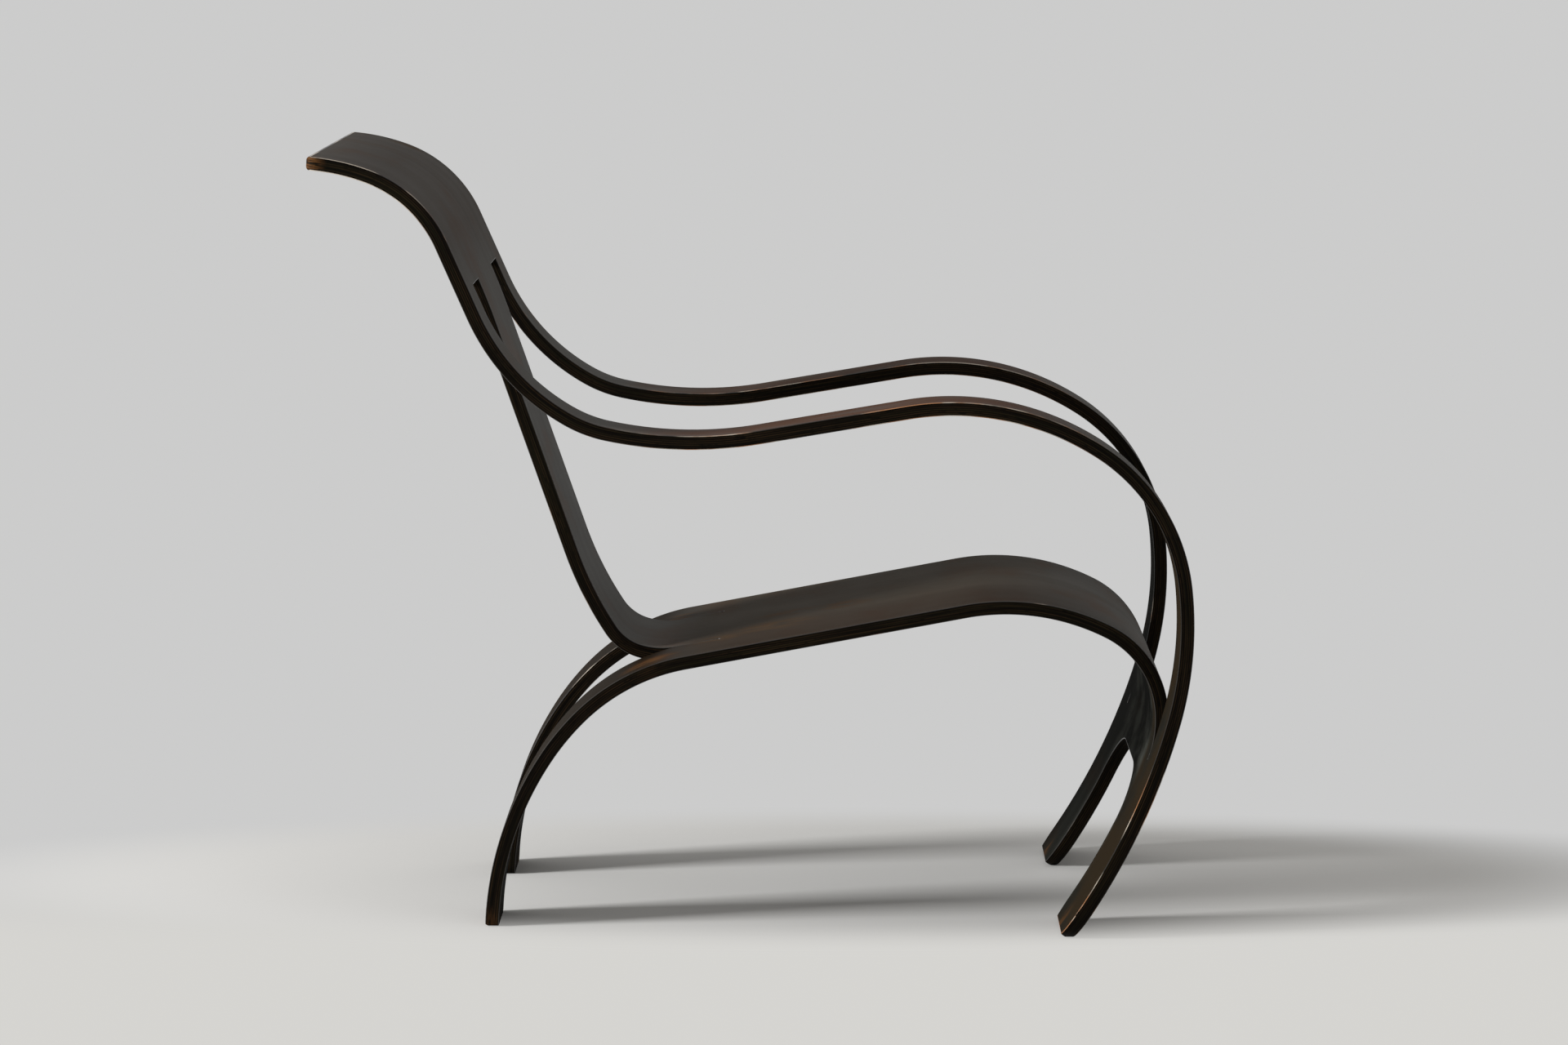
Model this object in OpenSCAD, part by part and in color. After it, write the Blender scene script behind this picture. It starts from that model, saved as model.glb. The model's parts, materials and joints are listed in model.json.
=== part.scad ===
// Easy chair cut and bent from one sheet of plywood.
//
// The sheet is slit along its length. Its two side strips become the arms and run on
// into the front legs. Its middle becomes the headrest, the back panel and the seat.
// Two strips between them, slit free from the back panel, bend down as the rear legs.
// Thirteen veneers make up the sheet, and each is a piece of its own. Veneer 1 is the
// face that one sits on, and veneer 13 is the back of the sheet.
//
// A slope is in degrees above the horizontal, met while going along the sheet from
// the headrest to the front feet, so a slope that falls is written as a fall.

/* [Sheet] */
// Depth of the whole chair, from the headrest's tip to the front of the arms
overall_depth = 838; // [790:1:890]
// Width of the whole sheet, over the arms
sheet_width = 600; // [520:5:680]
// Thickness of one veneer
veneer_thickness = 1; // [0.8:0.05:1.3]
// Width of each arm strip
arm_width = 78; // [60:1:95]
// Width of the back panel, between the two slots
back_panel_width = 240; // [180:5:280]
// Width of the saw cut that frees one strip from the next
saw_cut_width = 2; // [1:0.5:4]
// Diameter of the hole that ends each saw cut
relief_hole_diameter = 5; // [4:0.5:8]
// Greatest distance between a true bend and its short flats
bend_error = 0.2; // [0.1:0.05:0.5]

/* [Headrest] */
// Height of the headrest's tip above the floor
tip_height = 744; // [700:1:790]
// Fall of the sheet at the headrest's tip
tip_fall = 4; // [0:0.5:12]
// Radius of the headrest's easy bend
lead_radius = 215; // [150:5:300]
// Fall at the end of the easy bend
lead_fall = 20; // [14:0.5:30]
// Radius of the headrest's roll
roll_radius = 130; // [100:5:170]
// Fall of the upper back
back_fall = 66; // [60:0.5:72]
// Length of the straight upper back above the slots
upper_back_length = 48; // [20:1:80]
// Radius of the headrest's two corners
tip_corner_radius = 10; // [3:1:25]

/* [Arms] */
// Length of each arm strip that stays straight below the slot's top
strip_straight_length = 24; // [5:1:60]
// Radius of the elbow's first bend
elbow_radius = 205; // [160:5:260]
// Fall between the elbow's two bends
elbow_fall = 29.5; // [22:0.5:36]
// Radius of the elbow's second bend
elbow_end_radius = 120; // [90:5:160]
// Fall where the elbow meets the arm's dip
dip_fall = 12; // [8:0.5:18]
// Radius of the dip
dip_radius = 380; // [300:5:460]
// Rise of the straight part of the arm
arm_rise = 9.5; // [6:0.5:13]
// Radius of the arm's crest
crest_radius = 265; // [220:5:320]
// Fall where the crest meets the front sweep
sweep_fall = 32.5; // [25:0.5:40]
// Radius of the front sweep
sweep_radius = 185; // [150:5:220]
// Fall where the sweep meets the knee
knee_fall = 84; // [78:0.5:90]
// Radius of the knee, which turns back under the arm
knee_radius = 345; // [280:5:420]
// Fall where the knee meets the front leg
leg_fall = 105.5; // [100:0.5:108]

/* [Front legs] */
// Radius of the front legs' curve above the place where the arms and the seat part
leg_radius = 595; // [500:5:700]
// Fall of the sheet where the arms and the seat part
join_fall = 110; // [108.5:0.5:113]
// Radius of the front legs' curve below that place
lower_leg_radius = 665; // [560:5:800]
// Width of each front leg
front_leg_width = 130; // [100:1:150]
// Distance along the sheet from where the arms and seat part to the arch
apron_depth = 25; // [15:1:60]
// Width of each rounded shoulder of the arch
arch_shoulder_width = 92; // [50:1:130]
// Drop of each rounded shoulder of the arch
arch_shoulder_height = 48; // [25:1:65]
// Radius of the corners of the front feet
front_foot_corner_radius = 24; // [8:1:34]
// Depth of the bevel on the rear edge of the front feet
front_foot_bevel_depth = 8.5; // [3:0.5:10]

/* [Back panel and seat] */
// Radius of the back panel's slight bend below the slots' top
panel_easing_radius = 570; // [450:10:700]
// Fall of the straight back panel
panel_fall = 70.5; // [68:0.5:74]
// Radius of the back panel's lower bend
panel_lower_radius = 345; // [280:5:420]
// Fall at the end of the lower bend
panel_lower_fall = 56.5; // [50:0.5:62]
// Radius of the tight bend where the back meets the seat
toe_radius = 45; // [40:1:60]
// Fall at the end of the tight bend
toe_fall = 16; // [10:0.5:22]
// Radius of the bend that runs out onto the seat
toe_out_radius = 70; // [60:1:90]
// Rise of the seat towards its front
seat_rise = 10.5; // [8:0.5:13]
// Radius of the seat's crest
seat_crest_radius = 225; // [180:5:260]
// Fall between the crest and the tighter bend in front of it
seat_crest_fall = 26.5; // [20:0.5:34]
// Radius of the bend at the front of the seat
seat_front_radius = 100; // [85:1:120]
// Fall at the end of that bend
seat_front_fall = 85; // [80:0.5:90]
// Radius of the bend that brings the seat into line with the front legs
seat_join_radius = 115; // [100:1:140]

/* [Rear legs] */
// Distance on the seat from the end of the toe's bend to the end of the saw cut
rear_cut_distance = 42; // [36:1:60]
// Length of each rear leg that stays in line with the seat
rear_lead_length = 32; // [10:1:40]
// Radius of the rear leg's first bend
rear_top_radius = 200; // [160:5:240]
// Slope at the end of the first bend
rear_top_slope = 45; // [40:0.5:50]
// Radius of the rear leg's second bend
rear_mid_radius = 260; // [220:5:320]
// Slope at the end of the second bend
rear_mid_slope = 56.5; // [53:0.5:62]
// Radius of the rear leg's long curve down to the floor
rear_low_radius = 320; // [290:5:380]
// Radius of the corners of the rear feet
rear_foot_corner_radius = 8; // [3:1:20]
// Depth of the bevel on the rear edge of the rear feet
rear_foot_bevel_depth = 2.5; // [1:0.5:5]

/* [Hidden] */
NODES = [
    "veneer_01_show_face", "veneer_02_crossband", "veneer_03_long_grain",
    "veneer_04_cross_grain", "veneer_05_long_grain", "veneer_06_cross_grain",
    "veneer_07_centre", "veneer_08_cross_grain", "veneer_09_long_grain",
    "veneer_10_cross_grain", "veneer_11_long_grain", "veneer_12_crossband",
    "veneer_13_back_face"
];
veneer_count = len(NODES);
sheet_thickness = veneer_count * veneer_thickness;
half_width = sheet_width / 2;
arm_inner = half_width - arm_width;
seat_half = arm_inner - saw_cut_width;
panel_half = back_panel_width / 2;
rear_inner = panel_half + saw_cut_width;
leg_inner = half_width - front_leg_width;
front_foot_height = 2 * front_foot_corner_radius;
below_floor_depth = 1.5 * sheet_thickness;
reach = 2 * (tip_height + sheet_width);
stained_face = [0.23, 0.19, 0.16];
stained_long = [0.16, 0.12, 0.09];
stained_cross = [0.10, 0.08, 0.07];

// A run is [length, turn], where a turn to the left is positive. A pose is [x, z, slope].
function straight(length) = [length, 0];
function bend(radius, from, to) = [radius * abs(to - from) * PI / 180, to - from];
function radius_of(run) = run[0] * 180 / PI / abs(run[1]);
function chord(length, turn) =
    turn == 0 ? length : 2 * length * 180 / PI / abs(turn) * sin(abs(turn) / 2);
function go(pose, run, share = 1) =
    let (slope = pose[2] + run[1] * share / 2, step = chord(run[0] * share, run[1] * share))
    [pose[0] + step * cos(slope), pose[1] + step * sin(slope), pose[2] + run[1] * share];
function go_all(pose, runs, i = 0) = i == len(runs) ? pose : go_all(go(pose, runs[i]), runs, i + 1);
function flats(run) =
    run[1] == 0 ? 1 : ceil(abs(run[1]) / (2 * acos(1 - bend_error / radius_of(run))));
function poses(pose, runs, i = 0) =
    i == len(runs) ? [pose]
    : let (n = flats(runs[i]))
      concat([for (k = [0:n - 1]) go(pose, runs[i], k / n)], poses(go(pose, runs[i]), runs, i + 1));

// The way along the sheet from the headrest's tip, down an arm to the front foot
headrest_runs = [
    bend(lead_radius, -tip_fall, -lead_fall),
    bend(roll_radius, -lead_fall, -back_fall),
    straight(upper_back_length)
];
elbow_runs = [
    straight(strip_straight_length),
    bend(elbow_radius, -back_fall, -elbow_fall),
    bend(elbow_end_radius, -elbow_fall, -dip_fall),
    bend(dip_radius, -dip_fall, arm_rise)
];
sweep_runs = [
    bend(crest_radius, arm_rise, -sweep_fall),
    bend(sweep_radius, -sweep_fall, -knee_fall)
];
knee_runs = [
    bend(knee_radius, -knee_fall, -leg_fall),
    bend(leg_radius, -leg_fall, -join_fall)
];
tip_back = sheet_thickness * sin(tip_fall);
tip = [tip_back - overall_depth / 2, tip_height, -tip_fall];
bends_reach = go_all(tip, concat(headrest_runs, elbow_runs, sweep_runs))[0]
    + knee_radius * (1 - sin(knee_fall));
arm_straight_length = (overall_depth / 2 - bends_reach) / cos(arm_rise);
arm_runs = concat(elbow_runs, [straight(arm_straight_length)], sweep_runs, knee_runs);
slot_top = go_all(tip, headrest_runs);
join = go_all(slot_top, arm_runs);
leg_centre_z = join[1] + lower_leg_radius * cos(180 - join_fall);
leg_end = acos((-below_floor_depth - leg_centre_z) / lower_leg_radius);
front_runs = [bend(lower_leg_radius, -join_fall, -leg_end)];

// The way down the back panel and along the seat, whose two straights close the loop
easing_run = bend(panel_easing_radius, -back_fall, -panel_fall);
toe_runs = [
    bend(panel_lower_radius, -panel_fall, -panel_lower_fall),
    bend(toe_radius, -panel_lower_fall, -toe_fall),
    bend(toe_out_radius, -toe_fall, seat_rise)
];
seat_front_runs = [
    bend(seat_crest_radius, seat_rise, -seat_crest_fall),
    bend(seat_front_radius, -seat_crest_fall, -seat_front_fall),
    bend(seat_join_radius, -seat_front_fall, -join_fall)
];
bends_alone = go_all(slot_top, concat([easing_run], toe_runs, seat_front_runs));
gap_x = join[0] - bends_alone[0];
gap_z = join[1] - bends_alone[1];
closing = sin(panel_fall + seat_rise);
panel_straight = (gap_x * sin(seat_rise) - gap_z * cos(seat_rise)) / closing;
seat_straight = (gap_x * sin(panel_fall) + gap_z * cos(panel_fall)) / closing;
panel_runs = concat([easing_run, straight(panel_straight)], toe_runs, [straight(rear_cut_distance)]);
cut_end = go_all(slot_top, panel_runs);
seat_runs = concat([straight(seat_straight - rear_cut_distance)], seat_front_runs);

// The way from the end of the saw cut back along a rear leg and down to the floor
rear_start = [cut_end[0], cut_end[1], 180 + seat_rise];
rear_bends = [
    straight(rear_lead_length),
    bend(rear_top_radius, seat_rise, rear_top_slope),
    bend(rear_mid_radius, rear_top_slope, rear_mid_slope)
];
rear_calf = go_all(rear_start, rear_bends);
rear_centre_z = rear_calf[1] - rear_low_radius * cos(rear_mid_slope);
rear_end = 180 - acos((rear_centre_z + below_floor_depth) / rear_low_radius);
rear_runs = concat(rear_bends, [bend(rear_low_radius, rear_mid_slope, rear_end)]);

headrest_way = poses(tip, headrest_runs);
arm_way = poses(slot_top, arm_runs);
front_way = poses(join, front_runs);
panel_way = poses(slot_top, panel_runs);
seat_way = poses(cut_end, seat_runs);
rear_way = poses(rear_start, rear_runs);

// Outline of a layer of the sheet between two depths below its show face. A way that
// is walked from front to back has its show face on the other side.
function layer_edge(way, depth) = [for (p = way) [p[0] + depth * sin(p[2]), p[1] - depth * cos(p[2])]];
function backwards(list) = [for (i = [len(list) - 1:-1:0]) list[i]];
function layer_outline(way, top, bottom) =
    concat(layer_edge(way, top), backwards(layer_edge(way, bottom)));
function arc_points(centre, radius_y, radius_z, from, to, steps = 10) =
    [for (i = [0:steps]) let (a = from + (to - from) * i / steps)
        [centre[0] + radius_y * cos(a), centre[1] + radius_z * sin(a)]];
function floor_x(edge) =
    [for (i = [0:len(edge) - 2]) if (edge[i][1] > 0 && edge[i + 1][1] <= 0)
        edge[i][0] + (edge[i + 1][0] - edge[i][0]) * edge[i][1] / (edge[i][1] - edge[i + 1][1])][0];
front_heel = floor_x(layer_edge(front_way, sheet_thickness));
rear_heel = floor_x(layer_edge(rear_way, 0));

// The chair's side view is drawn in x and z and made as wide as the strip
module across(from, to) {
    translate([0, to, 0]) rotate([90, 0, 0]) linear_extrude(to - from) children();
}

// A front view is drawn in y and z and pushed through the chair from back to front
module lengthwise() {
    rotate([90, 0, 90]) translate([0, 0, -reach / 2]) linear_extrude(reach) children();
}

module strip(way, from, to, top, bottom) {
    across(from, to) polygon(layer_outline(way, top, bottom));
}

// Cutter that is square to the sheet at a pose, for holes through it
module square_to_sheet(pose) {
    translate([pose[0], 0, pose[1]]) rotate([0, -pose[2], 0]) children();
}

module relief_holes(pose, offset) {
    square_to_sheet(pose)
        for (side = [-1, 1])
            translate([0, side * offset, -2 * sheet_thickness])
                cylinder(h = 3 * sheet_thickness, d = relief_hole_diameter, $fn = 32);
}

module tip_corners() {
    r = tip_corner_radius;
    translate([tip[0] - tip_back, 0, 0])
        linear_extrude(reach)
            for (side = [-1, 1])
                polygon(concat(
                    [[-r, side * (half_width + r)], [-r, side * (half_width - r)]],
                    arc_points([r, side * (half_width - r)], r, r, 180, 180 - side * 90),
                    [[r, side * (half_width + r)]]));
}

// Arch between the front legs, cut square to the sheet at the arch's top
module arch() {
    top = go(join, bend(lower_leg_radius, 0, -apron_depth * 180 / PI / lower_leg_radius));
    square_to_sheet(top)
        translate([0, 0, -reach / 2])
            linear_extrude(reach)
                polygon(concat(
                    [[reach, -leg_inner]],
                    arc_points([arch_shoulder_height, arch_shoulder_width - leg_inner],
                        arch_shoulder_height, arch_shoulder_width, 270, 180),
                    arc_points([arch_shoulder_height, leg_inner - arch_shoulder_width],
                        arch_shoulder_height, arch_shoulder_width, 180, 90),
                    [[reach, leg_inner]]));
}

// Front view of two feet that stand on the floor, with rounded corners
module feet_view(inner, outer, corner, height) {
    for (side = [-1, 1])
        polygon(concat(
            arc_points([side * (inner + corner), corner], side * corner, corner, 180, 270, 6),
            arc_points([side * (outer - corner), corner], side * corner, corner, 270, 360, 6),
            [[side * outer, height], [side * inner, height]]));
}

// Wedge below a bevelled heel
module heel(x, bevel) {
    across(-reach / 2, reach / 2)
        polygon([[x + 2 * bevel, -bevel], [x - 2 * bevel, 3 * bevel], [x - 6 * bevel, -bevel]]);
}

// Front legs and the apron above their arch
module front_part(top, bottom) {
    difference() {
        intersection() {
            strip(front_way, -half_width, half_width, top, bottom);
            lengthwise() union() {
                feet_view(leg_inner, half_width, front_foot_corner_radius, front_foot_height);
                translate([-half_width, front_foot_height]) square([sheet_width, tip_height]);
            }
        }
        arch();
        heel(front_heel, front_foot_bevel_depth);
    }
}

module rear_leg_pair(top, bottom) {
    difference() {
        intersection() {
            for (side = [-1, 1])
                strip(rear_way,
                    side > 0 ? rear_inner : -seat_half,
                    side > 0 ? seat_half : -rear_inner,
                    -top, -bottom);
            lengthwise() feet_view(rear_inner, seat_half, rear_foot_corner_radius, tip_height);
        }
        heel(rear_heel, rear_foot_bevel_depth);
    }
}

module veneer_sheet(number) {
    top = (number - 1) * veneer_thickness;
    bottom = number * veneer_thickness;
    difference() {
        union() {
            strip(headrest_way, -half_width, half_width, top, bottom);
            strip(arm_way, -half_width, -arm_inner, top, bottom);
            strip(arm_way, arm_inner, half_width, top, bottom);
            strip(panel_way, -panel_half, panel_half, top, bottom);
            strip(seat_way, -seat_half, seat_half, top, bottom);
            front_part(top, bottom);
            rear_leg_pair(top, bottom);
        }
        tip_corners();
        relief_holes(cut_end, panel_half + saw_cut_width / 2);
        relief_holes(join, arm_inner - saw_cut_width / 2);
    }
}

module face_veneer(number) { color(stained_face) veneer_sheet(number); }
module long_grain_veneer(number) { color(stained_long) veneer_sheet(number); }
module cross_grain_veneer(number) { color(stained_cross) veneer_sheet(number); }

face_veneer(1);  // veneer_01_show_face
cross_grain_veneer(2);  // veneer_02_crossband
long_grain_veneer(3);  // veneer_03_long_grain
cross_grain_veneer(4);  // veneer_04_cross_grain
long_grain_veneer(5);  // veneer_05_long_grain
cross_grain_veneer(6);  // veneer_06_cross_grain
long_grain_veneer(7);  // veneer_07_centre
cross_grain_veneer(8);  // veneer_08_cross_grain
long_grain_veneer(9);  // veneer_09_long_grain
cross_grain_veneer(10);  // veneer_10_cross_grain
long_grain_veneer(11);  // veneer_11_long_grain
cross_grain_veneer(12);  // veneer_12_crossband
face_veneer(13);  // veneer_13_back_face
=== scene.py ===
import json
import math

import bmesh
import bpy
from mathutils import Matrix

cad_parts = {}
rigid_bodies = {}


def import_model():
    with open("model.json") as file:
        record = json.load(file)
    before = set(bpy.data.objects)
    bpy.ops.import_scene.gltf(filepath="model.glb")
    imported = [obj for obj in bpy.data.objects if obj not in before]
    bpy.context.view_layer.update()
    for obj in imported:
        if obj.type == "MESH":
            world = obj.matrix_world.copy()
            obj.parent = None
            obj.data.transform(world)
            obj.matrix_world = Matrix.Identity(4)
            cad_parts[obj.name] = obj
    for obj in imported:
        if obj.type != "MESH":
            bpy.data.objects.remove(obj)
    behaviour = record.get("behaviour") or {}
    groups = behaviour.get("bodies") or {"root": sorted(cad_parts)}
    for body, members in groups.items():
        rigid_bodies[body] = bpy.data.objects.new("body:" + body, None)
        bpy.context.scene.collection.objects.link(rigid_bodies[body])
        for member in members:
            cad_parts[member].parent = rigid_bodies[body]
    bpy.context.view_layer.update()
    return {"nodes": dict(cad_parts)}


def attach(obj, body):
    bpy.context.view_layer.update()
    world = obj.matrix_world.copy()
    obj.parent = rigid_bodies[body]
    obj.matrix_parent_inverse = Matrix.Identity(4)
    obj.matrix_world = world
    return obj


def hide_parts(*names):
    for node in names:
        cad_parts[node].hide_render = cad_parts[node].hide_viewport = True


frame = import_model()

# ---------------------------------------------------------------------------
# Camera
# A long lens at a little over seat height, almost square to the chair's side.
# Its place and tilt were worked out from the chair's outlines.
CAMERA_PLACE = (0.0726, -6.668, 1.014)
CAMERA_TILT = math.radians(84.48)
CAMERA_TURN = 0.00654
FILM_WIDTH = 36
LENS_LENGTH = 155.6
SIGHT_END = 60

lens = bpy.data.cameras.new("photo_camera")
lens.sensor_width = FILM_WIDTH
lens.lens = LENS_LENGTH
lens.clip_end = SIGHT_END
camera = bpy.data.objects.new("photo_camera", lens)
camera.location = CAMERA_PLACE
camera.rotation_euler = (CAMERA_TILT, 0, CAMERA_TURN)
bpy.context.scene.collection.objects.link(camera)
bpy.context.scene.camera = camera

# ---------------------------------------------------------------------------
# Bent sheet
# One blank of plywood, slit along its length and bent over moulds until the strips
# part: two arms outside, the back and seat in the middle, two rear legs between them.
# Its show face is drawn once as a skin, by spinning and drawing out the tip's edge.
MM = 0.001

# Across the sheet, each strip's edges by their distance from the middle, in
# millimetres as all sizes are
SAW_CUT = 2
HALF_WIDTH = 300
SEAT_HALF = 220
ARM_INNER = SEAT_HALF + SAW_CUT
PANEL_HALF = 120
REAR_INNER = PANEL_HALF + SAW_CUT
LEG_INNER = 170

PLIES = 13
VENEER = 1.0
SHEET = PLIES * VENEER

# The tip's place and slope, and then the way along each strip: a bend is a radius in
# millimetres and a turn in degrees, and a straight is None and a length
TIP = (-418.093, 744, -4)
HEADREST = [(215, -16), (130, -46), (None, 48)]
ARM = [
    (None, 24), (205, 36.5), (120, 17.5), (380, 21.5), (None, 142.128),
    (265, -42), (185, -51.5), (345, -21.5), (595, -4.5),
]
BACK_PANEL = [(570, -4.5), (None, 235.121), (345, 14), (45, 40.5), (70, 26.5), (None, 42)]
SEAT = [(None, 241.021), (225, -37), (100, -58.5), (115, -25)]
REAR_LEG = [(None, 32), (200, 34.5), (260, 11.5), (320, 35)]
LEG_RADIUS = 665
FRONT_LEG = [(LEG_RADIUS, -17.9)]

# Degrees of a bend to each of its flats, and how near a vertex has to lie to be picked
FLAT_TURN = 1.25
SAME_PLACE = 0.05
SAME_LINE = 0.1

STUB = 10
SEAT_TOP = 350
SEAT_MIDDLE = 100


def stretch_end(pose, radius, amount):
    """Where a straight stretch (no radius) or a bend leaves the sheet: x, z and slope."""
    x, z, slope = pose
    if radius is None:
        angle = math.radians(slope)
        return x + amount * math.cos(angle), z + amount * math.sin(angle), slope
    chord = 2 * radius * math.sin(math.radians(abs(amount)) / 2)
    angle = math.radians(slope + amount / 2)
    return x + chord * math.cos(angle), z + chord * math.sin(angle), slope + amount


def draw_strip(pose, stretches):
    """Draw the selected row of edges out along straights and bends."""
    for radius, amount in stretches:
        x, z, slope = pose
        after = stretch_end(pose, radius, amount)
        if radius is None:
            shift = ((after[0] - x) * MM, 0, (after[1] - z) * MM)
            bpy.ops.mesh.extrude_edges_move(TRANSFORM_OT_translate={"value": shift})
        else:
            side = math.copysign(1, amount)
            slant = math.radians(slope)
            centre = ((x - side * radius * math.sin(slant)) * MM, 0,
                      (z + side * radius * math.cos(slant)) * MM)
            bpy.ops.mesh.spin(
                steps=max(3, round(abs(amount) / FLAT_TURN)), angle=math.radians(abs(amount)),
                center=centre, axis=(0, side, 0))
        pose = after
    return pose


def pick_row(pose, low, high, sides=(-1, 1)):
    """Select the vertices across the sheet at a pose, by their distance from the middle."""
    bpy.ops.mesh.select_all(action="DESELECT")
    work = bmesh.from_edit_mesh(bpy.context.object.data)
    for v in work.verts:
        near = math.hypot(v.co.x - pose[0] * MM, v.co.z - pose[1] * MM) < SAME_PLACE * MM
        v.select = near and any(
            (low - SAME_LINE) * MM < side * v.co.y < (high + SAME_LINE) * MM
            for side in sides)
    work.select_flush(True)
    bmesh.update_edit_mesh(bpy.context.object.data)


# A short stub behind the tip is cut into five strips and deleted but for its front row
bpy.ops.object.select_all(action="DESELECT")
bpy.ops.mesh.primitive_plane_add(
    size=1, location=((TIP[0] - STUB / 2) * MM, 0, TIP[1] * MM))
skin = bpy.context.object
skin.name = "sheet_skin"
skin.scale = (STUB * MM, 2 * HALF_WIDTH * MM, 1)
bpy.ops.object.transform_apply(location=True, rotation=True, scale=True)
bpy.ops.object.mode_set(mode="EDIT")
for station in (-ARM_INNER, -PANEL_HALF, PANEL_HALF, ARM_INNER):
    bpy.ops.mesh.select_all(action="SELECT")
    bpy.ops.mesh.bisect(plane_co=(0, station * MM, 0), plane_no=(0, 1, 0))
pick_row((TIP[0] - STUB, TIP[1]), 0, HALF_WIDTH)
bpy.ops.mesh.delete(type="VERT")

# Headrest, arms and back panel
pick_row(TIP, 0, HALF_WIDTH)
slot_top = draw_strip(TIP, HEADREST)
pick_row(slot_top, ARM_INNER, HALF_WIDTH)
join = draw_strip(slot_top, ARM)
pick_row(slot_top, 0, PANEL_HALF)
cut_end = draw_strip(slot_top, BACK_PANEL)

# Seat and rear legs, which part where the saw cuts beside the back panel end
for side in (-1, 1):
    pick_row(cut_end, PANEL_HALF, PANEL_HALF, (side,))
    for width in (REAR_INNER - PANEL_HALF, SEAT_HALF - REAR_INNER):
        bpy.ops.mesh.extrude_vertices_move(
            TRANSFORM_OT_translate={"value": (0, side * width * MM, 0)})
pick_row(cut_end, 0, SEAT_HALF)
draw_strip(cut_end, SEAT)
rear_start = (cut_end[0], cut_end[1], cut_end[2] + 180)
pick_row(cut_end, REAR_INNER, SEAT_HALF)
draw_strip(rear_start, REAR_LEG)

# Front legs, one sheet again from the join of arms and seat downwards
for side in (-1, 1):
    pick_row(join, SEAT_HALF, ARM_INNER, (side,))
    bpy.ops.mesh.edge_face_add()
pick_row(join, 0, HALF_WIDTH)
draw_strip(join, FRONT_LEG)

# The skin faces the sitter, so the seat has to look up
bpy.ops.mesh.select_all(action="SELECT")
bpy.ops.mesh.normals_make_consistent(inside=False)
bpy.ops.object.mode_set(mode="OBJECT")
seat_faces = [f for f in skin.data.polygons
              if f.center.z < SEAT_TOP * MM and abs(f.center.x) < SEAT_MIDDLE * MM]
if sum(f.normal.z for f in seat_faces) < 0:
    bpy.ops.object.mode_set(mode="EDIT")
    bpy.ops.mesh.select_all(action="SELECT")
    bpy.ops.mesh.flip_normals()
    bpy.ops.object.mode_set(mode="OBJECT")

# ---------------------------------------------------------------------------
# Cutters
# What the router and the rasp take off the bent sheet: the arch between the front
# legs, the rounded and bevelled feet, the headrest's worn tip and the four small holes
# that stop the saw cuts. They are only tools here and are deleted at the end.
X, Y, Z = range(3)
EDGE_SLOT = 2

# How far a tool stands clear of a face that it leaves alone, and how far it reaches
# past the sides of the sheet where it cuts right across
CLEAR = 0.02
CURVE_ROOM = 0.1
MARGIN = 10
ACROSS = HALF_WIDTH + 30

ARCH_DEPTH = 25
ARCH_LENGTH = 260
ARCH_REACH = 120
SHOULDER_WIDTH = 92
SHOULDER_HEIGHT = 48
SHOULDER_STEPS = 16
CORNER_STEPS = 8
FRONT_HEEL = 290.54
FRONT_HEEL_BEVEL = 8.5
FRONT_FOOT_ROUND = 24
REAR_HEEL = -257.06
REAR_HEEL_BEVEL = 2.5
REAR_FOOT_ROUND = 8
BEVEL_SLOPE = 45
BEVEL_REACH = 30
TIP_CORNER = 10
NOSE_RADIUS = 3.5
NOSE_STEPS = 3
STOP_HOLE = 2.5
STOP_HOLE_SIDES = 32
DRILL_LENGTH = 60
cutters = bpy.data.collections.new("cutters")
bpy.context.scene.collection.children.link(cutters)


def add_block(name, low, high):
    """A block between two opposite corners, in millimetres."""
    bpy.ops.object.select_all(action="DESELECT")
    middle = [(a + b) / 2 * MM for a, b in zip(low, high)]
    bpy.ops.mesh.primitive_cube_add(size=1, location=middle)
    block = bpy.context.object
    block.name = name
    block.scale = [(b - a) * MM for a, b in zip(low, high)]
    bpy.ops.object.transform_apply(location=True, rotation=True, scale=True)
    return block


def round_edges(block, radius, segments, axis, at_axis, at_value):
    """Round the edges that run along one axis and lie at a place on another."""
    bpy.ops.object.mode_set(mode="EDIT")
    bpy.ops.mesh.select_all(action="DESELECT")
    work = bmesh.from_edit_mesh(block.data)
    for e in work.edges:
        a, b = (v.co for v in e.verts)
        along = abs(a[axis] - b[axis]) > MM
        if along and abs(a[at_axis] - at_value * MM) < SAME_LINE * MM:
            e.select_set(True)
    work.select_flush(True)
    bpy.ops.mesh.bevel(offset=radius * MM, segments=segments, affect="EDGES")
    bpy.ops.object.mode_set(mode="OBJECT")


def cut_away(target, tool):
    """Take one block out of another and throw the tool away."""
    step = target.modifiers.new("cut", "BOOLEAN")
    step.operation = "DIFFERENCE"
    step.solver = "EXACT"
    step.object = tool
    bpy.context.view_layer.objects.active = target
    bpy.ops.object.modifier_apply(modifier=step.name)
    bpy.data.objects.remove(tool)


def set_down(block, pose):
    """Turn a block to the slope of a pose on the sheet and set it down there."""
    x, z, slope = pose
    block.rotation_euler.y = -math.radians(slope)
    block.location = (x * MM, 0, z * MM)
    block.select_set(True)
    bpy.ops.object.transform_apply(location=True, rotation=True, scale=True)


def keep_as_cutter(block):
    """File a tool with the cutters, so that the faces it leaves are edge faces."""
    for face in block.data.polygons:
        face.material_index = EDGE_SLOT
    for home in block.users_collection:
        home.objects.unlink(block)
    cutters.objects.link(block)


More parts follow.
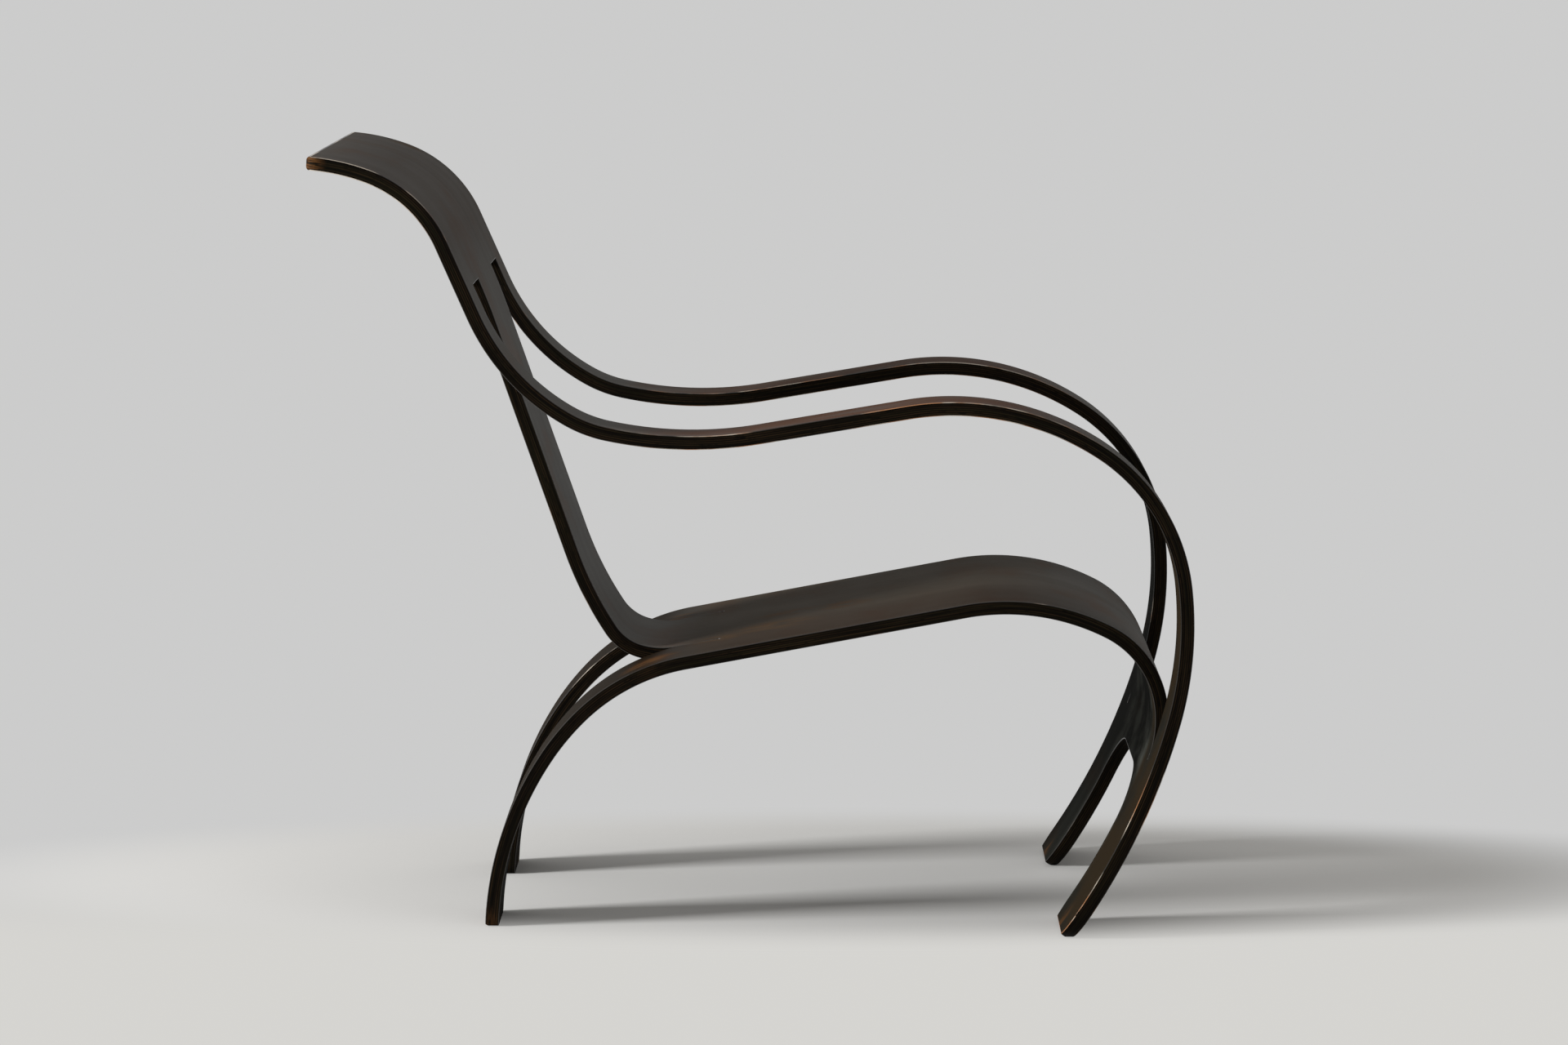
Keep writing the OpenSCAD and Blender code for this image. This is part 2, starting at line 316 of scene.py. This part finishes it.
# The arch's shoulders are quarter ellipses: rounded as circles, then stretched
arch_top = stretch_end(join, LEG_RADIUS, -math.degrees(ARCH_DEPTH / LEG_RADIUS))
squash = SHOULDER_HEIGHT / SHOULDER_WIDTH
arch = add_block("arch_cutter", (0, -LEG_INNER * squash, -ARCH_REACH),
                 (ARCH_LENGTH, LEG_INNER * squash, ARCH_REACH))
round_edges(arch, SHOULDER_HEIGHT, SHOULDER_STEPS, Z, X, 0)
arch.scale.y = 1 / squash
bpy.ops.object.transform_apply(location=False, rotation=False, scale=True)
set_down(arch, arch_top)
keep_as_cutter(arch)

# Below the feet goes a slab from which the two rounded feet of a pair are taken out,
# and at each heel a wedge that leaves a bevel
for name, inner, outer, back, front, radius in (
        ("front_foot_cutter", LEG_INNER, HALF_WIDTH, 200, 450, FRONT_FOOT_ROUND),
        ("rear_foot_cutter", REAR_INNER, SEAT_HALF, -350, -150, REAR_FOOT_ROUND)):
    slab = add_block(name, (back, -ACROSS, -40), (front, ACROSS, radius + 2))
    for side in (-1, 1):
        low, high = sorted((side * (inner - CLEAR), side * (outer + CLEAR)))
        foot = add_block("foot", (back - 20, low, 0), (front + 20, high, 80))
        round_edges(foot, radius, CORNER_STEPS, X, Z, 0)
        cut_away(slab, foot)
    keep_as_cutter(slab)

for name, heel, bevel in (("front_heel_cutter", FRONT_HEEL, FRONT_HEEL_BEVEL),
                          ("rear_heel_cutter", REAR_HEEL, REAR_HEEL_BEVEL)):
    wedge = add_block(name, (-BEVEL_REACH, -HALF_WIDTH - MARGIN, -BEVEL_REACH),
                      (0, HALF_WIDTH + MARGIN, BEVEL_REACH))
    set_down(wedge, (heel + bevel, 0, BEVEL_SLOPE))
    keep_as_cutter(wedge)

# The headrest's two corners are rounded as seen from above, and its edge as seen from
# the side
tip_edge = TIP[0] - SHEET * math.sin(math.radians(-TIP[2]))
tip_frame = add_block("tip_corner_cutter", (tip_edge - 30, -ACROSS, 700),
                      (tip_edge + TIP_CORNER + 1, ACROSS, 760))
tip_block = add_block("tip", (tip_edge - CLEAR, -HALF_WIDTH - CLEAR, 600),
                      (tip_edge + 60, HALF_WIDTH + CLEAR, 800))
round_edges(tip_block, TIP_CORNER, CORNER_STEPS, Z, X, tip_edge - CLEAR)
cut_away(tip_frame, tip_block)
keep_as_cutter(tip_frame)

nose = add_block("tip_nose_cutter", (-20, -ACROSS, -SHEET - 12),
                 (NOSE_RADIUS + 1, ACROSS, 12))
nose_block = add_block("nose", (-CLEAR, -ACROSS - MARGIN, -SHEET - CURVE_ROOM),
                       (60, ACROSS + MARGIN, CLEAR))
round_edges(nose_block, NOSE_RADIUS, NOSE_STEPS, Y, X, -CLEAR)
cut_away(nose, nose_block)
set_down(nose, TIP)
keep_as_cutter(nose)

# The stop holes, on the middle line of each saw cut
for pose, off in ((cut_end, PANEL_HALF + SAW_CUT / 2), (join, SEAT_HALF + SAW_CUT / 2)):
    for side in (-1, 1):
        bpy.ops.object.select_all(action="DESELECT")
        bpy.ops.mesh.primitive_cylinder_add(
            radius=STOP_HOLE * MM, depth=DRILL_LENGTH * MM, vertices=STOP_HOLE_SIDES,
            location=(pose[0] * MM, side * off * MM, pose[1] * MM),
            rotation=(0, -math.radians(pose[2]), 0))
        bpy.ops.object.transform_apply(location=True, rotation=True, scale=True)
        drill = bpy.context.object
        drill.name = "stop_hole_cutter"
        keep_as_cutter(drill)

# ---------------------------------------------------------------------------
# Show face
# The top veneer, on which one sits: rotary cut, glued on and stained, with a painted grey
# sheen on the back panel, and rubbed thin by use, with its arrises rubbed round and bare,
# their pale streaks in part a painted highlight. Like each of the thirteen, it is the skin
# given one veneer's thickness at its own depth and cut to shape.
TOP_SLOT = 0
UNDER_SLOT = 1
ARRIS_SLOT = 3
ARRIS_WIDTH = 0.7
ARRIS_STEPS = 2
SMOOTH_ANGLE = math.radians(20)
NODES = sorted(frame["nodes"])


def rub_arris(piece, face_slot):
    """Round the edges between a face of the sheet and its sides, as hands and feet have."""
    bpy.ops.object.mode_set(mode="EDIT")
    bpy.ops.mesh.select_mode(type="EDGE")
    bpy.ops.mesh.select_all(action="DESELECT")
    work = bmesh.from_edit_mesh(piece.data)
    for e in work.edges:
        if {f.material_index for f in e.link_faces} == {face_slot, EDGE_SLOT}:
            e.select_set(True)
    bmesh.update_edit_mesh(piece.data)
    bpy.ops.mesh.bevel(
        offset=ARRIS_WIDTH * MM, segments=ARRIS_STEPS, affect="EDGES", clamp_overlap=False,
        material=ARRIS_SLOT)
    bpy.ops.object.mode_set(mode="OBJECT")


def make_veneer(number, materials, rubbed=None):
    """One veneer of the sheet, number 1 being the face that one sits on.

    The materials are for its upper and under face, its edge and its rubbed arris, whose pale
    streaks are bare wood and in part a painted highlight.
    """
    node = NODES[number - 1]
    bpy.ops.object.select_all(action="DESELECT")
    skin.select_set(True)
    bpy.context.view_layer.objects.active = skin
    bpy.ops.object.duplicate()
    piece = bpy.context.object
    piece.name = node.replace("veneer", "ply")
    for material in materials:
        piece.data.materials.append(material)
    wall = piece.modifiers.new("wall", "SOLIDIFY")
    wall.thickness = VENEER * MM
    wall.offset = 1 - 2 * number
    wall.use_even_offset = True
    wall.material_offset = UNDER_SLOT
    wall.material_offset_rim = EDGE_SLOT
    bpy.ops.object.modifier_apply(modifier=wall.name)
    trim = piece.modifiers.new("trim", "BOOLEAN")
    trim.operation = "DIFFERENCE"
    trim.solver = "MANIFOLD"
    trim.operand_type = "COLLECTION"
    trim.collection = cutters
    bpy.ops.object.modifier_apply(modifier=trim.name)
    # After the trim each slot gets its own material again
    while len(piece.data.materials) < len(materials):
        piece.data.materials.append(None)
    for slot, material in enumerate(materials):
        piece.data.materials[slot] = material
    if rubbed is not None:
        rub_arris(piece, rubbed)
    bpy.ops.object.shade_smooth_by_angle(angle=SMOOTH_ANGLE)
    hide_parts(node)
    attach(piece, "root")


def new_finish(name, roughness, gloss):
    """A new finish with an even sheen: its material, its node tree and its shader."""
    material = bpy.data.materials.new(name)
    material.use_nodes = True
    shader = material.node_tree.nodes["Principled BSDF"]
    shader.inputs["Roughness"].default_value = roughness
    shader.inputs["Specular IOR Level"].default_value = gloss
    return material, material.node_tree, shader


def pattern_place(tree, scale, shift=(0, 0, 0)):
    """The place on a piece, stretched and shifted for a pattern."""
    place = tree.nodes.new("ShaderNodeTexCoord")
    stretch = tree.nodes.new("ShaderNodeMapping")
    stretch.inputs["Scale"].default_value = scale
    stretch.inputs["Location"].default_value = shift
    tree.links.new(place.outputs["Object"], stretch.inputs["Vector"])
    return stretch.outputs["Vector"]


def wood_noise(tree, scale, detail=3.0, shift=(0, 0, 0)):
    """Noise of 0 to 1 with so many cells to the metre along x, y and z."""
    noise = tree.nodes.new("ShaderNodeTexNoise")
    noise.inputs["Scale"].default_value = 1.0
    noise.inputs["Detail"].default_value = detail
    tree.links.new(pattern_place(tree, scale, shift), noise.inputs["Vector"])
    return noise.outputs["Fac"]


def fade(tree, source, start, end):
    """0 at start and 1 at end, or the other way round where start is the greater."""
    step = tree.nodes.new("ShaderNodeMapRange")
    step.interpolation_type = "SMOOTHSTEP"
    low, high = sorted((start, end))
    step.inputs["From Min"].default_value = low
    step.inputs["From Max"].default_value = high
    step.inputs["To Min"].default_value = 0 if start < end else 1
    step.inputs["To Max"].default_value = 1 if start < end else 0
    tree.links.new(source, step.inputs["Value"])
    return step.outputs["Result"]


def put_together(tree, kind, *factors):
    """Factors put together in turn by a plain sum, such as MULTIPLY or MAXIMUM."""
    whole = factors[0]
    for factor in factors[1:]:
        node = tree.nodes.new("ShaderNodeMath")
        node.operation = kind
        for socket, value in zip(node.inputs, (whole, factor)):
            if isinstance(value, (int, float)):
                socket.default_value = value
            else:
                tree.links.new(value, socket)
        whole = node.outputs[0]
    return whole


def within(tree, *factors):
    """All the given factors at once."""
    return put_together(tree, "MULTIPLY", *factors)


def any_of(tree, *factors):
    """The greatest of the given factors."""
    return put_together(tree, "MAXIMUM", *factors)


def less(tree, first, second):
    """The first less the second."""
    return put_together(tree, "SUBTRACT", first, second)


def blend(tree, factor, first, second, kind="MIX"):
    """Mix two colours by a factor; either may be a plain colour."""
    mix = tree.nodes.new("ShaderNodeMix")
    mix.data_type = "RGBA"
    mix.blend_type = kind
    for name, value in (("Factor", factor), ("A", first), ("B", second)):
        socket = [i for i in mix.inputs if i.name == name and i.enabled][0]
        if isinstance(value, tuple):
            socket.default_value = (*value, 1)
        elif isinstance(value, (int, float)):
            socket.default_value = value
        else:
            tree.links.new(value, socket)
    return [o for o in mix.outputs if o.enabled][0]


def chair_place(tree):
    """The place on the chair as three numbers: forward, to the far side and up."""
    place = tree.nodes.new("ShaderNodeTexCoord")
    parts = tree.nodes.new("ShaderNodeSeparateXYZ")
    tree.links.new(place.outputs["Object"], parts.inputs["Vector"])
    return parts.outputs["X"], parts.outputs["Y"], parts.outputs["Z"]


def near_point(tree, point, inner, outer):
    """1 within a distance of a point on the chair, fading to 0 further off."""
    place = tree.nodes.new("ShaderNodeTexCoord")
    gap = tree.nodes.new("ShaderNodeVectorMath")
    gap.operation = "DISTANCE"
    gap.inputs[1].default_value = point
    tree.links.new(place.outputs["Object"], gap.inputs[0])
    return fade(tree, gap.outputs["Value"], outer, inner)


def wear(tree, places, scale, shift):
    """Patches round the given places, broken up along the grain."""
    patches = [near_point(tree, point, inner, outer) for point, inner, outer in places]
    broken = fade(tree, wood_noise(tree, scale, 4.0, shift), 0.40, 0.58)
    return within(tree, any_of(tree, *patches), broken)


# Worn places: the point, and the radii within which the wear is full and out of which
# there is none, all in metres
FOOT_PLACES = [
    ((-0.255, -0.200, 0.002), 0.004, 0.030), ((-0.255, 0.195, 0.002), 0.004, 0.024),
    ((0.275, -0.235, 0.006), 0.010, 0.045), ((0.275, 0.235, 0.006), 0.008, 0.040),
]
BARE_PLACES = FOOT_PLACES + [
    ((-0.097, -0.185, 0.250), 0.004, 0.040), ((-0.418, -0.300, 0.738), 0.006, 0.020),
    ((-0.418, 0.300, 0.738), 0.006, 0.020),
]
THIN_PLACES = [
    ((0.034, -0.002, 0.275), 0.010, 0.040), ((0.091, -0.017, 0.285), 0.010, 0.040),
    ((-0.078, 0.140, 0.254), 0.010, 0.035), ((-0.360, 0.270, 0.732), 0.006, 0.030),
    ((-0.034, -0.121, 0.262), 0.006, 0.035), ((0.020, -0.090, 0.272), 0.010, 0.060),
]
BARE_WOOD = (0.085, 0.038, 0.013)
THIN_STAIN = (0.064, 0.037, 0.018)
FACE_CHIPS = (26, 60, 26)
THIN_CHIPS = (30, 45, 30)
EDGE_CHIPS = (60, 60, 60)

# The stain on either face: its deep, pale and reddish tones, and its patterns in cells
# to the metre
SHOW_STAIN = ((0.078, 0.074, 0.067), (0.102, 0.097, 0.090), (0.112, 0.077, 0.060))
BROAD_BANDS = (2.6, 22, 2.6)
FINE_GRAIN = (5, 520, 5)
CLOUDS = (16, 7, 16)
HAND_MARKS = (12, 40, 12)
GRAIN_SHARE = 0.7
SHOW_RED_SHARE = 0.45
SHOW_ROUGHNESS = 0.62
SHOW_SHEEN = (0.54, 0.72)
FACE_GLOSS = 0.015
FACE_PORES = 0.12
PORE_DEPTH = 0.3
HEADREST_TINT = (0.80, 0.74, 0.71)
# A painted grey sheen on the back panel, lighter and cooler than the stain
PANEL_SHEEN_TINT = (1.28, 1.32, 1.36)
SEAT_TINT = (0.58, 0.49, 0.39)
NEAR_SEAT_TINT = (0.68, 0.59, 0.54)
REAR_LEG_TINT = (0.15, 0.11, 0.07)
FAR_ARM_TINT = (0.66, 0.60, 0.54)
RUBBED_BROWN = (0.086, 0.042, 0.026)


def arm_regions(tree):
    """Masks of the two arms' strips and of the stretch of them that hands have rubbed."""
    along, across, up = chair_place(tree)
    on_arm = fade(tree, within(tree, across, across), 0.218 ** 2, 0.224 ** 2)
    handled = within(tree, on_arm, fade(tree, up, 0.435, 0.455),
                     fade(tree, along, -0.15, -0.03), fade(tree, along, 0.36, 0.22))
    return on_arm, handled


def lay_stain(tree, stain, red_share, shift):
    """Stain rubbed thin over long faint grain, with warm blotches; and its two patterns.

    Noise lies mostly between 0.3 and 0.7, and each fade's limits set how much it covers.
    """
    deep, pale, red = stain
    broad = wood_noise(tree, BROAD_BANDS, 3.0, shift)
    fine = wood_noise(tree, FINE_GRAIN, 4.0, shift)
    cloud = wood_noise(tree, CLOUDS, 5.0, shift)
    colour = blend(tree, fade(tree, broad, 0.28, 0.76), deep, pale)
    grain = within(tree, fade(tree, fine, 0.28, 0.72), GRAIN_SHARE)
    colour = blend(tree, grain, colour, pale)
    reddish = within(tree, fade(tree, cloud, 0.48, 0.70), red_share)
    return blend(tree, reddish, colour, red), fine, cloud


def open_pores(tree, shader, pattern, strength):
    """The wood's open pores, or the marks of the plane, as a fine relief."""
    relief = tree.nodes.new("ShaderNodeBump")
    relief.inputs["Strength"].default_value = strength
    relief.inputs["Distance"].default_value = PORE_DEPTH * MM
    tree.links.new(pattern, relief.inputs["Height"])
    tree.links.new(relief.outputs["Normal"], shader.inputs["Normal"])


def polish(tree, shader, fine, cloud, sheen):
    """A sheen that wanders with the stain, from smooth to dull, over open pores."""
    wander = tree.nodes.new("ShaderNodeMapRange")
    wander.inputs["To Min"].default_value = sheen[0]
    wander.inputs["To Max"].default_value = sheen[1]
    tree.links.new(cloud, wander.inputs["Value"])
    tree.links.new(wander.outputs["Result"], shader.inputs["Roughness"])
    open_pores(tree, shader, fine, FACE_PORES)


def show_face_stain():
    """A painted grey sheen on the panel, olive brown on the seat, red brown where hands rub
    the arms.

    Each region is a mask by its place on the chair, with limits in metres.
    """
    shift = (0, 0, 0)
    material, tree, shader = new_finish("show_face_stain", SHOW_ROUGHNESS, FACE_GLOSS)
    colour, fine, cloud = lay_stain(tree, SHOW_STAIN, SHOW_RED_SHARE, shift)
    along, across, up = chair_place(tree)
    on_arm, handled = arm_regions(tree)
    between_arms = less(tree, 1.0, on_arm)
    width = within(tree, across, across)
    low = fade(tree, up, 0.40, 0.33)

    headrest = within(tree, fade(tree, up, 0.60, 0.67), fade(tree, along, -0.24, -0.29))
    colour = blend(tree, headrest, colour, HEADREST_TINT, "MULTIPLY")
    # The panel's lighter, greyer tone is a painted sheen
    panel_sheen = within(tree, fade(tree, width, 0.121 ** 2, 0.119 ** 2), fade(tree, up, 0.62, 0.52),
                   fade(tree, up, 0.26, 0.34), fade(tree, along, -0.03, -0.06))
    colour = blend(tree, panel_sheen, colour, PANEL_SHEEN_TINT, "MULTIPLY")
    seat = within(tree, between_arms, low, fade(tree, along, -0.11, -0.04),
                  fade(tree, along, 0.38, 0.22))
    colour = blend(tree, seat, colour, SEAT_TINT, "MULTIPLY")
    near_seat = within(tree, seat, fade(tree, across, 0.0, -0.14))
    colour = blend(tree, near_seat, colour, NEAR_SEAT_TINT, "MULTIPLY")
    rear_leg = within(tree, between_arms, low, fade(tree, width, 0.120 ** 2, 0.122 ** 2),
                      fade(tree, along, -0.04, -0.10))
    colour = blend(tree, rear_leg, colour, REAR_LEG_TINT, "MULTIPLY")

    marks = wood_noise(tree, HAND_MARKS, 5.0, shift)
    patchy = any_of(tree, 0.6, fade(tree, marks, 0.16, 0.60))
    one_hand = less(tree, 0.95, within(tree, across, 0.6))
    colour = blend(tree, within(tree, handled, patchy, one_hand), colour, RUBBED_BROWN)
    far_arm = within(tree, handled, fade(tree, across, 0.0, 0.1))
    colour = blend(tree, far_arm, colour, FAR_ARM_TINT, "MULTIPLY")

    colour = blend(tree, wear(tree, THIN_PLACES, THIN_CHIPS, shift), colour, THIN_STAIN)
    colour = blend(tree, wear(tree, BARE_PLACES, FACE_CHIPS, shift), colour, BARE_WOOD)
    tree.links.new(colour, shader.inputs["Base Color"])
    polish(tree, shader, fine, cloud, SHOW_SHEEN)
    return material


# The arris, and how much of the streaks is pale, bare wood and in part a painted highlight,
# where it is handled and elsewhere
ARRIS_DARK = (0.014, 0.010, 0.007)
# Cream bare wood with a painted highlight on it
ARRIS_CREAM_AND_HIGHLIGHT = (0.50, 0.43, 0.35)
ARRIS_ORANGE = (0.34, 0.15, 0.06)
ARRIS_ROUGHNESS = 0.30
ARRIS_GLOSS = 0.5
RUB_STREAKS = (14, 5, 14)
RUB_HUES = (30, 8, 30)
RUB_SOFTNESS = 0.06
FAR_ARM_EXTRA = 0.07
SHOW_PALE_OFTEN = 0.50
PALE_SELDOM = 0.30


def arris_wear_and_highlight(name, pale_often, pale_seldom):
    """The sheet's rounded arris: dark where the stain holds, cream and orange where not. The
    orange is bare wood, the cream is bare wood with a painted highlight, and on the headrest
    only the cream shows, as a painted glint.
    """
    material, tree, shader = new_finish(name, ARRIS_ROUGHNESS, ARRIS_GLOSS)
    along, across, up = chair_place(tree)
    handled = arm_regions(tree)[1]
    # On the headrest the pale arris is a painted glint as well as wear
    headrest_glint_and_wear = within(tree, fade(tree, up, 0.60, 0.66), fade(tree, along, -0.29, -0.34))
    on_shin = within(tree, fade(tree, up, 0.17, 0.12), fade(tree, along, 0.16, 0.20),
                     fade(tree, across, 0.05, -0.05))
    often = any_of(tree, handled, headrest_glint_and_wear, on_shin)
    far_arm = within(tree, handled, fade(tree, across, 0.0, 0.1), FAR_ARM_EXTRA)
    streaks = less(tree, wood_noise(tree, RUB_STREAKS, 5.0), far_arm)
    common = fade(tree, streaks, pale_often + RUB_SOFTNESS, pale_often - RUB_SOFTNESS)
    rare = fade(tree, streaks, pale_seldom + RUB_SOFTNESS, pale_seldom - RUB_SOFTNESS)
    # Where the streaks lie the arris is pale: bare wood, and in part a painted highlight
    rubbed = any_of(tree, within(tree, often, common), rare)
    hue = fade(tree, wood_noise(tree, RUB_HUES, 3.0, (4.2, 0, 1.3)), 0.42, 0.58)
    # The orange is bare wood; the cream carries the painted highlight and alone shows on the
    # headrest
    warm = within(tree, hue, less(tree, 1.0, headrest_glint_and_wear))
    bare_and_highlight = blend(tree, warm, ARRIS_CREAM_AND_HIGHLIGHT, ARRIS_ORANGE)
    colour = blend(tree, rubbed, ARRIS_DARK, bare_and_highlight)
    tree.links.new(colour, shader.inputs["Base Color"])
    return material


# The edges of the veneers, with patterns in cells to the metre as before
LONG_DARK = (0.0034, 0.0024, 0.0016)
LONG_PALE = (0.0210, 0.0125, 0.0060)
CROSS_DARK = (0.0012, 0.0010, 0.0008)
CROSS_PALE = (0.0042, 0.0032, 0.0022)
OLIVE = (0.0110, 0.0105, 0.0045)
OLIVE_SHARE = 0.4
EDGE_ROUGHNESS = 0.60
EDGE_GLOSS = 0.03
EDGE_DRIFT = (11, 11, 11)
EDGE_PORES = (95, 95, 95)
EDGE_TINT = (4, 4, 4)
PLANE_MARKS = 0.2


def stained_edge(name, dark, pale, shift):
    """The planed edge of one veneer under the stain, its tone wandering along the sheet."""
    material, tree, shader = new_finish(name, EDGE_ROUGHNESS, EDGE_GLOSS)
    slow = wood_noise(tree, EDGE_DRIFT, 4.0, shift)
    quick = wood_noise(tree, EDGE_PORES, 3.0, shift)
    colour = blend(tree, fade(tree, slow, 0.34, 0.68), dark, pale)
    colour = blend(tree, fade(tree, quick, 0.52, 0.75), colour, dark)
    tint = fade(tree, wood_noise(tree, EDGE_TINT, 2.0, shift), 0.50, 0.66)
    colour = blend(tree, within(tree, tint, OLIVE_SHARE), colour, OLIVE)
    colour = blend(tree, wear(tree, BARE_PLACES, EDGE_CHIPS, shift), colour, BARE_WOOD)
    tree.links.new(colour, shader.inputs["Base Color"])
    open_pores(tree, shader, quick, PLANE_MARKS)
    return material


def edge_of(number):
    """One veneer's edge: the odd ones' grain runs along the sheet, the even ones' across.

    The shift gives each its own stretch of the patterns.
    """
    shift = (number * 7.3, number * 3.1, 0)
    if number % 2:
        return stained_edge(f"long_grain_edge_{number:02d}", LONG_DARK, LONG_PALE, shift)
    return stained_edge(f"cross_grain_edge_{number:02d}", CROSS_DARK, CROSS_PALE, shift)


edge = edge_of(1)
show_arris = arris_wear_and_highlight("show_face_arris", SHOW_PALE_OFTEN, PALE_SELDOM)
make_veneer(1, [show_face_stain(), edge, edge, show_arris], TOP_SLOT)

# ---------------------------------------------------------------------------
# Inner veneers
# Eleven rotary-cut veneers, glued with the grain of each across the next. Only their
# planed and stained edges show, long grain lighter and cross grain darker.
LAST = len(NODES)
for number in range(2, LAST):
    edge = edge_of(number)
    make_veneer(number, [edge, edge, edge])

# ---------------------------------------------------------------------------
# Back face
# The bottom veneer, which nobody sits on: near black, browner down one front leg,
# smeared with grey on the apron between the front legs, and bare at the feet.
BACK_STAIN = ((0.0058, 0.0060, 0.0048), (0.0140, 0.0142, 0.0118), (0.018, 0.013, 0.0090))
BACK_RED_SHARE = 0.6
BACK_ROUGHNESS = 0.9
BACK_SHEEN = (0.80, 1.0)
BACK_PALE_OFTEN = 0.56
NEAR_LEG_BROWN = (0.022, 0.0150, 0.0080)
SILVERY = (0.058, 0.060, 0.052)
SMEARS = (14, 9, 20)


def back_face_stain():
    """Near-black stain, with the marks of the front legs and the apron."""
    shift = (3.1, 1.7, 0.4)
    material, tree, shader = new_finish("back_face_stain", BACK_ROUGHNESS, FACE_GLOSS)
    colour, fine, cloud = lay_stain(tree, BACK_STAIN, BACK_RED_SHARE, shift)
    along, across, up = chair_place(tree)
    near_leg = within(tree, fade(tree, along, 0.10, 0.20), fade(tree, up, 0.50, 0.40),
                      fade(tree, across, -0.150, -0.185), fade(tree, cloud, 0.30, 0.60))
    colour = blend(tree, near_leg, colour, NEAR_LEG_BROWN)
    smears = wood_noise(tree, SMEARS, 4.0, (2.0, 0.6, 0.3))
    apron = within(tree, fade(tree, along, 0.28, 0.34), fade(tree, up, 0.32, 0.26),
                   fade(tree, across, 0.20, 0.14), fade(tree, across, -0.19, -0.15),
                   fade(tree, smears, 0.38, 0.58))
    colour = blend(tree, apron, colour, SILVERY)
    colour = blend(tree, wear(tree, FOOT_PLACES, FACE_CHIPS, shift), colour, BARE_WOOD)
    tree.links.new(colour, shader.inputs["Base Color"])
    polish(tree, shader, fine, cloud, BACK_SHEEN)
    return material


edge = edge_of(LAST)
back_arris = arris_wear_and_highlight("back_face_arris", BACK_PALE_OFTEN, PALE_SELDOM)
make_veneer(LAST, [edge, back_face_stain(), edge, back_arris], UNDER_SLOT)

# The sheet is done, so the skin and the tools go
bpy.data.objects.remove(skin)
for tool in list(cutters.objects):
    bpy.data.objects.remove(tool)
bpy.data.collections.remove(cutters)

# ---------------------------------------------------------------------------
# Studio
# A plain pale floor that runs off into a plain backdrop of its own tone, and soft
# light from the left. The floor takes the chair's shadows.
BACKDROP = (0.604, 0.604, 0.602)
# The floor's glow in front, painted lighter than the backdrop as painted light
FORE_FLOOR_PAINTED_LIGHT = (0.668, 0.660, 0.636)
TONE_CHANGE = (-0.35, 0.25)
FLOOR_PAINT = (0.72, 0.715, 0.70)
FLOOR_ROUGHNESS = 0.95
FLOOR_GLOSS = 0.05
FLOOR_SIZE = 80
LIT_SCALE = (0.50, 1, 1)
LIT_SHIFT = (-0.04, -0.13, 0)
LIT_EDGE = (0.30, 0.50)
SKY = (1.0, 0.985, 0.96)
SKY_STRENGTH = 0.45
SOFTBOX_SIZE = 1.2
SOFTBOX_POWER = 230
SOFTBOX_PLACE = (-4.0, -1.4, 1.8)
SOFTBOX_AIM = (math.radians(65), 0, math.radians(-72))


def seen_rays(tree):
    """1 for rays that look at the studio, straight on or in a gloss, and 0 for its light."""
    path = tree.nodes.new("ShaderNodeLightPath")
    shine = any_of(tree, path.outputs["Is Glossy Ray"], path.outputs["Is Transmission Ray"])
    return any_of(tree, path.outputs["Is Camera Ray"], shine)


bpy.ops.object.select_all(action="DESELECT")
bpy.ops.mesh.primitive_plane_add(size=FLOOR_SIZE, location=(0, 0, 0))
floor = bpy.context.object
floor.name = "studio_floor"
paint, tree, matt = new_finish("floor_paint", FLOOR_ROUGHNESS, FLOOR_GLOSS)
matt.inputs["Base Color"].default_value = (*FLOOR_PAINT, 1)

# Round the chair the paint takes light and shadow, and outside an oval it turns into a
# glow: the plain tone of the backdrop behind, and lighter in front as painted light
across = chair_place(tree)[1]
glow = tree.nodes.new("ShaderNodeEmission")
glow_with_painted_light = blend(tree, fade(tree, across, *TONE_CHANGE), FORE_FLOOR_PAINTED_LIGHT, BACKDROP)
tree.links.new(glow_with_painted_light, glow.inputs["Color"])
reach = tree.nodes.new("ShaderNodeVectorMath")
reach.operation = "LENGTH"
tree.links.new(pattern_place(tree, LIT_SCALE, LIT_SHIFT), reach.inputs[0])
far_off = within(tree, fade(tree, reach.outputs["Value"], *LIT_EDGE), seen_rays(tree))
join_up = tree.nodes.new("ShaderNodeMixShader")
tree.links.new(far_off, join_up.inputs["Fac"])
tree.links.new(matt.outputs["BSDF"], join_up.inputs[1])
tree.links.new(glow.outputs["Emission"], join_up.inputs[2])
tree.links.new(join_up.outputs["Shader"], tree.nodes["Material Output"].inputs["Surface"])
floor.data.materials.append(paint)

world = bpy.data.worlds.new("studio")
bpy.context.scene.world = world
world.use_nodes = True
tree = world.node_tree
sky = tree.nodes["Background"]
sky.inputs["Color"].default_value = (*SKY, 1)
sky.inputs["Strength"].default_value = SKY_STRENGTH
backdrop = tree.nodes.new("ShaderNodeBackground")
backdrop.inputs["Color"].default_value = (*BACKDROP, 1)
choose = tree.nodes.new("ShaderNodeMixShader")
tree.links.new(seen_rays(tree), choose.inputs["Fac"])
tree.links.new(sky.outputs["Background"], choose.inputs[1])
tree.links.new(backdrop.outputs["Background"], choose.inputs[2])
tree.links.new(choose.outputs["Shader"], tree.nodes["World Output"].inputs["Surface"])

softbox = bpy.data.lights.new("softbox", "AREA")
softbox.size = SOFTBOX_SIZE
softbox.energy = SOFTBOX_POWER
lamp = bpy.data.objects.new("softbox", softbox)
lamp.location = SOFTBOX_PLACE
lamp.rotation_euler = SOFTBOX_AIM
bpy.context.scene.collection.objects.link(lamp)
bpy.context.scene.view_settings.view_transform = "Standard"
